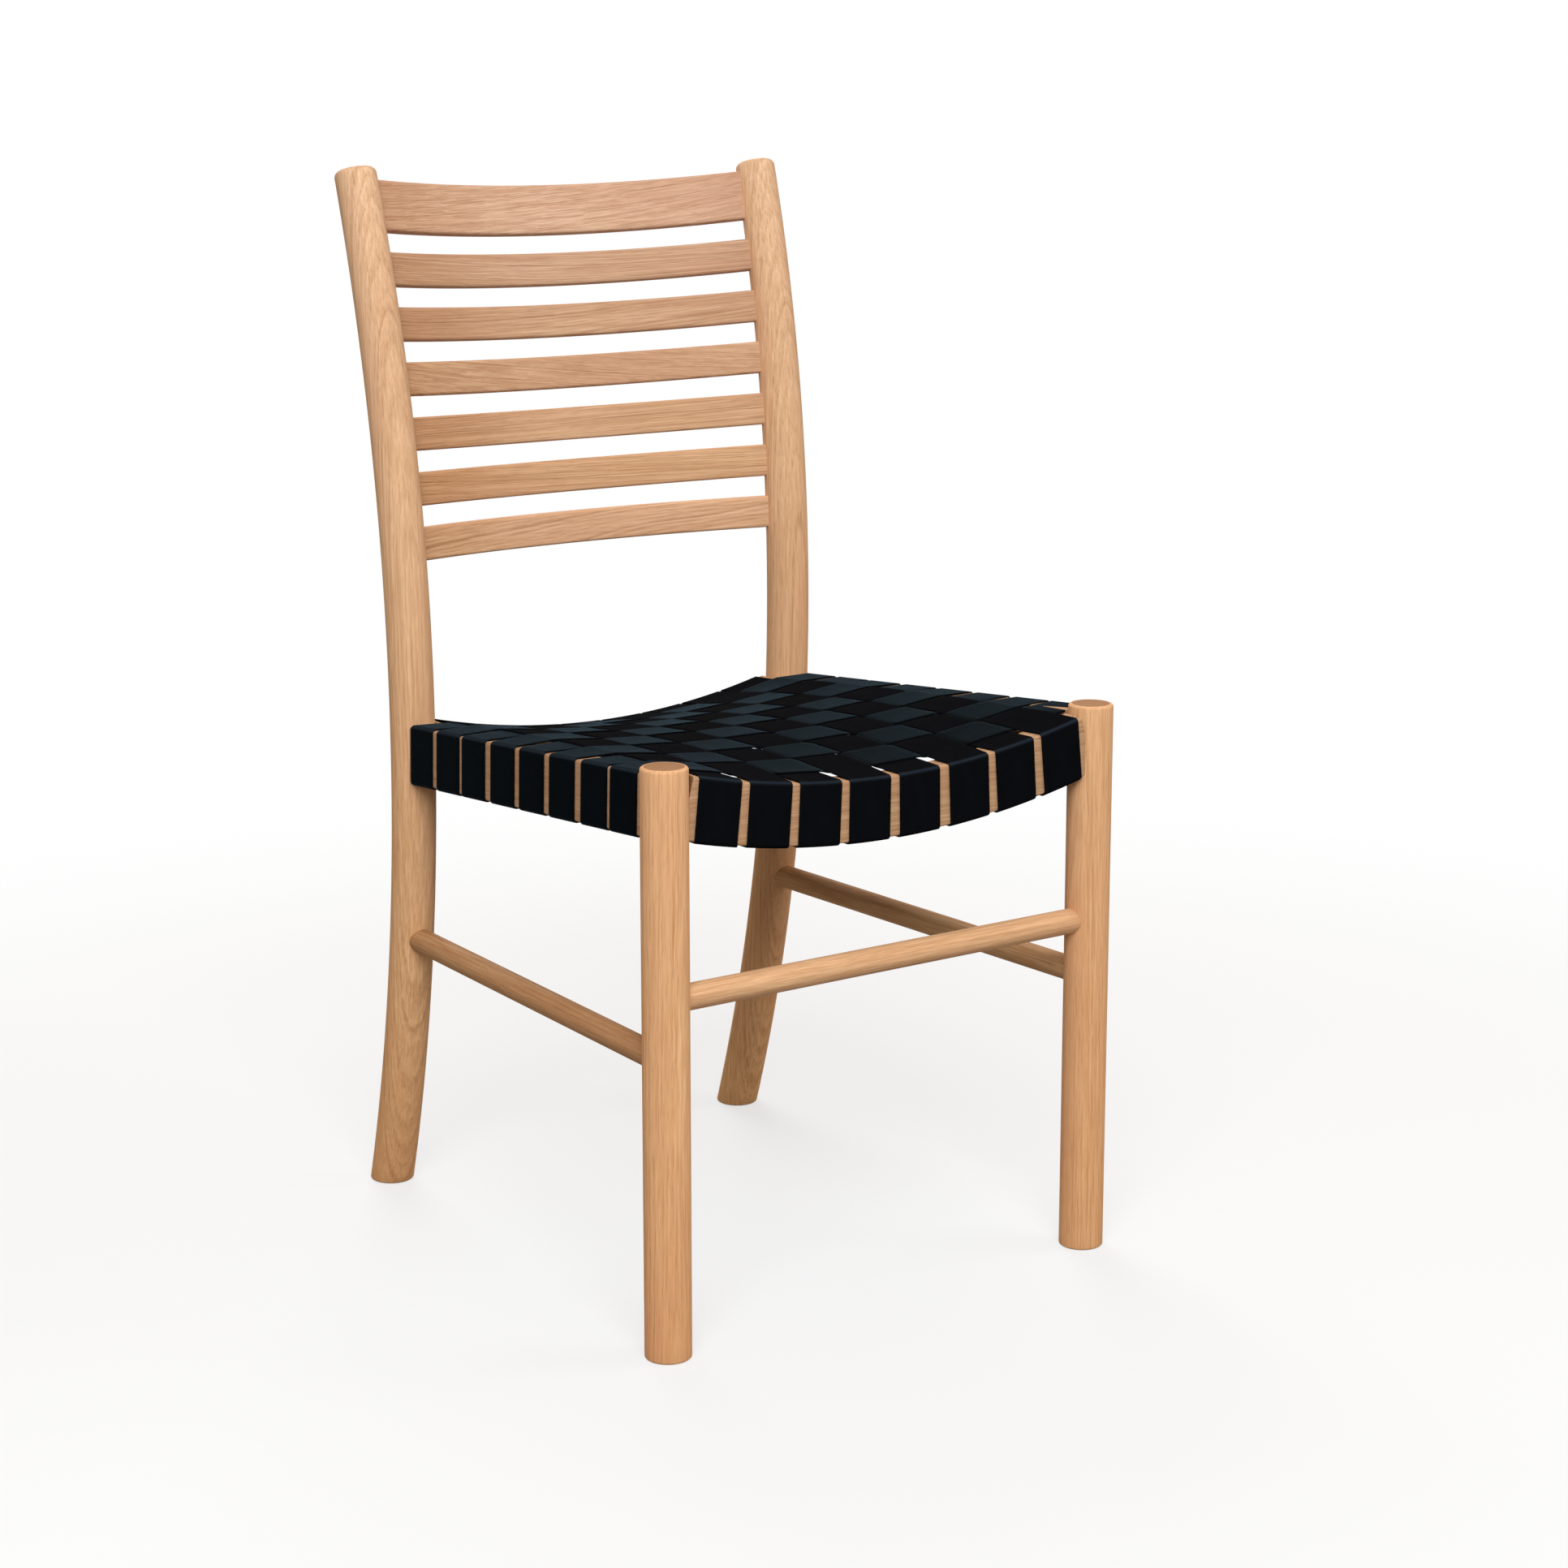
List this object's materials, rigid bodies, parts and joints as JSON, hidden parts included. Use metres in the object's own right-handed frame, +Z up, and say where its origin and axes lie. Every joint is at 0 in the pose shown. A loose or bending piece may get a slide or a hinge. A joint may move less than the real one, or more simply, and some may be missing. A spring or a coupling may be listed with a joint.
{
  "type": "dining chair",
  "caption": "Ladder-back oak dining chair with bowed back slats, bent round rear posts, turned legs and stretchers, and a plain-woven dark strap seat.",
  "frame": {"origin": "on the floor, under the middle of the chair's overall box", "axes": "+Z up, -Y the way the sitter faces, +X to the sitter's left"},
  "size_m": [0.4483, 0.529, 0.8843],
  "materials": {
    "oak": "pale natural oak, satin oil",
    "webbing": "near-black woven webbing, faint sheen",
    "dowel_beech": "plain beech dowel",
    "blued_steel": "blued steel tack"
  },
  "bodies": {
    "root": {"back_slat_1": "oak", "back_slat_2": "oak", "back_slat_3": "oak", "back_slat_4": "oak", "back_slat_5": "oak", "back_slat_6": "oak", "crest_rail": "oak", "front_leg_left": "oak", "front_leg_right": "oak", "front_rail_dowels": "dowel_beech", "front_rail_tacks": "blued_steel", "front_seat_rail": "oak", "front_stretcher": "oak", "front_to_back_strap_1": "webbing", "front_to_back_strap_2": "webbing", "front_to_back_strap_3": "webbing", "front_to_back_strap_4": "webbing", "front_to_back_strap_5": "webbing", "front_to_back_strap_6": "webbing", "front_to_back_strap_7": "webbing", "front_to_back_strap_8": "webbing", "left_rail_dowels": "dowel_beech", "left_rail_tacks": "blued_steel", "rear_post_left": "oak", "rear_post_right": "oak", "rear_rail_dowels": "dowel_beech", "rear_rail_tacks": "blued_steel", "rear_seat_rail": "oak", "right_rail_dowels": "dowel_beech", "right_rail_tacks": "blued_steel", "side_seat_rail_left": "oak", "side_seat_rail_right": "oak", "side_stretcher_left": "oak", "side_stretcher_right": "oak", "side_to_side_strap_1": "webbing", "side_to_side_strap_2": "webbing", "side_to_side_strap_3": "webbing", "side_to_side_strap_4": "webbing", "side_to_side_strap_5": "webbing", "side_to_side_strap_6": "webbing", "side_to_side_strap_7": "webbing", "side_to_side_strap_8": "webbing"}
  },
  "joints": []
}
